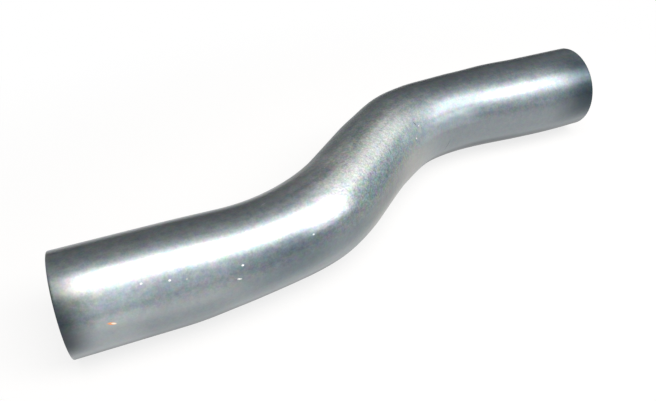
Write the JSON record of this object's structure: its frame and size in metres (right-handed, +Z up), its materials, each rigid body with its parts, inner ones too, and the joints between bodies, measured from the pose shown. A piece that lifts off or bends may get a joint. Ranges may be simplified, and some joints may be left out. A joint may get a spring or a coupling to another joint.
{
  "type": "radiator coolant pipe",
  "caption": "Rigid metal coolant pipe with two opposite bends and plain ends, over which the radiator's rubber hoses slide and are clamped.",
  "frame": {"origin": "on the surface the pipe lies on, under the middle of its box", "axes": "+X from the first end to the second end, along both parallel legs; +Y to the side that the second end is offset to; +Z up, square to the plane of the bends"},
  "size_m": [0.2502, 0.093, 0.038],
  "materials": {
    "zinc_plated_steel": "drawn steel tube with satin bright zinc plating"
  },
  "bodies": {
    "root": {"pipe": "zinc_plated_steel"}
  },
  "joints": []
}
